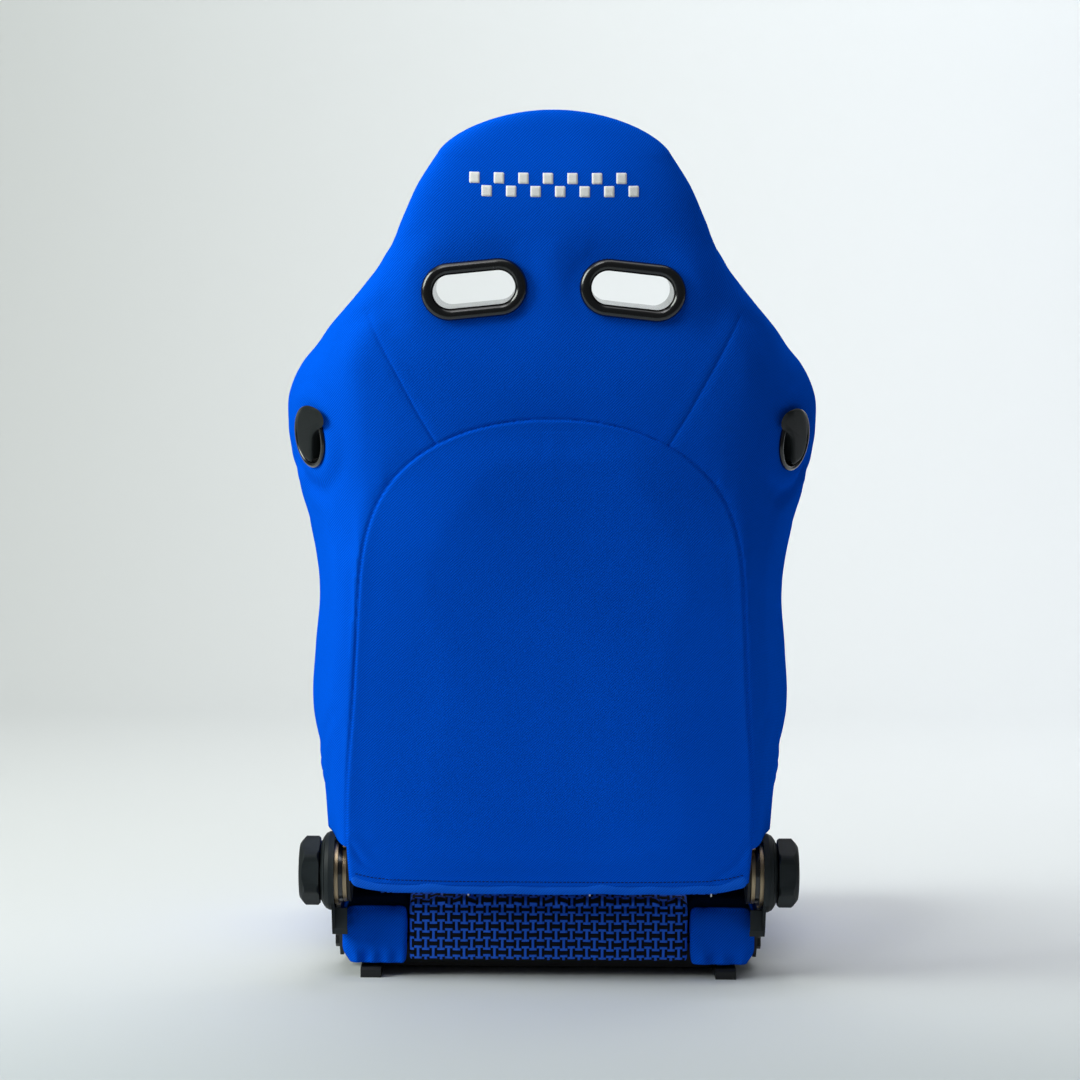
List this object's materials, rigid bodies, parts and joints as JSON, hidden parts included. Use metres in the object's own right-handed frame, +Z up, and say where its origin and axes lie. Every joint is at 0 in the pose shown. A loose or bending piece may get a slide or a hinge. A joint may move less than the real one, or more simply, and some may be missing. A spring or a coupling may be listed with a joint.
{
  "type": "reclining sport seat",
  "caption": "Reclining bucket seat for a car or kart-style cockpit, with geared side recliners, folding backrest, high side bolsters, shoulder release levers and harness slots.",
  "frame": {"origin": "centre of the four floor mounting holes, on the underside of the two side rails", "axes": "+Z up, -Y the way the sitter faces, +X to the sitter's left"},
  "size_m": [0.5454, 0.7401, 0.9013],
  "materials": {
    "blue_fabric": "matte",
    "patterned_fabric": "matte",
    "frame_paint": "satin",
    "zinc_plate": "satin",
    "bright_steel": "satin",
    "satin_black": "satin",
    "gloss_black": "gloss",
    "cable_sheath": "matte"
  },
  "bodies": {
    "base": {"side_rail_left": "frame_paint", "side_rail_right": "frame_paint", "front_crossbar": "frame_paint", "rear_crossbar": "frame_paint", "seat_pan": "frame_paint", "mounting_nuts": "bright_steel", "cushion_centre": "patterned_fabric", "cushion_bolster_left": "blue_fabric", "cushion_bolster_right": "blue_fabric", "cushion_nose": "blue_fabric", "recliner_base_plate_left": "zinc_plate", "recliner_base_plate_right": "zinc_plate", "recliner_gear_case_left": "bright_steel", "recliner_gear_case_right": "bright_steel", "recliner_bush_left": "bright_steel", "recliner_bush_right": "bright_steel", "return_spring_left": "bright_steel", "return_spring_right": "bright_steel", "side_cover_left": "satin_black", "side_cover_right": "satin_black", "bracket_spacers": "bright_steel", "bracket_bolts": "bright_steel"},
    "recliner_arms": {"recliner_arm_left": "zinc_plate", "recliner_arm_right": "zinc_plate"},
    "backrest": {"back_hoop": "frame_paint", "back_lower_tube": "frame_paint", "back_bracket_left": "bright_steel", "back_bracket_right": "bright_steel", "lumbar_mat": "bright_steel", "back_centre_foam": "patterned_fabric", "back_bolster_left": "blue_fabric", "back_bolster_right": "blue_fabric", "headrest_foam": "blue_fabric", "rear_panel": "blue_fabric", "upper_back_panel": "blue_fabric", "rear_panel_hem": "blue_fabric", "hem_hooks": "bright_steel", "harness_bezel_rear_left": "gloss_black", "harness_bezel_rear_right": "gloss_black", "harness_bezel_front_left": "gloss_black", "harness_bezel_front_right": "gloss_black", "lever_escutcheon_left": "satin_black", "lever_escutcheon_right": "satin_black", "release_cable_left": "cable_sheath", "release_cable_right": "cable_sheath", "pawl_pins": "bright_steel"},
    "dials": {"drive_shaft": "bright_steel", "recline_dial_left": "satin_black", "recline_dial_right": "satin_black"},
    "release_lever_left": {"release_lever_left": "satin_black"},
    "latch_pawl_left": {"latch_pawl_left": "zinc_plate"},
    "release_lever_right": {"release_lever_right": "satin_black"},
    "latch_pawl_right": {"latch_pawl_right": "zinc_plate"}
  },
  "joints": [
    {"name": "recline", "type": "hinge", "parent": "base", "child": "recliner_arms", "pos_m": [0, 0.23, 0.117], "axis": [-1, 0, 0], "range_deg": [-10, 48]},
    {"name": "fold_forward", "type": "hinge", "parent": "recliner_arms", "child": "backrest", "pos_m": [0, 0.23, 0.117], "axis": [1, 0, 0], "range_deg": [0, 42]},
    {"name": "dial_turn", "type": "hinge", "parent": "base", "child": "dials", "pos_m": [0, 0.23, 0.117], "axis": [-1, 0, 0], "range_deg": [-300, 1440]},
    {"name": "lever_left", "type": "hinge", "parent": "backrest", "child": "release_lever_left", "pos_m": [0.245, 0.36386, 0.58219], "axis": [-0.8572, -0.4925, 0.1506], "range_deg": [0, 35], "stiffness_Nm_per_rad": 0.5, "springref_deg": -11.46},
    {"name": "pawl_left", "type": "hinge", "parent": "backrest", "child": "latch_pawl_left", "pos_m": [0.217, 0.23357, 0.17656], "axis": [1, 0, 0], "range_deg": [0, 21]},
    {"name": "lever_right", "type": "hinge", "parent": "backrest", "child": "release_lever_right", "pos_m": [-0.245, 0.36386, 0.58219], "axis": [-0.8572, 0.4925, -0.1506], "range_deg": [0, 35], "stiffness_Nm_per_rad": 0.5, "springref_deg": -11.46},
    {"name": "pawl_right", "type": "hinge", "parent": "backrest", "child": "latch_pawl_right", "pos_m": [-0.217, 0.23357, 0.17656], "axis": [1, 0, 0], "range_deg": [0, 21]}
  ],
  "couplings": [
    {"joint": "dial_turn", "follows": "recline", "ratio": 30},
    {"joint": "pawl_left", "follows": "lever_left", "ratio": 0.6},
    {"joint": "pawl_right", "follows": "lever_right", "ratio": 0.6}
  ]
}
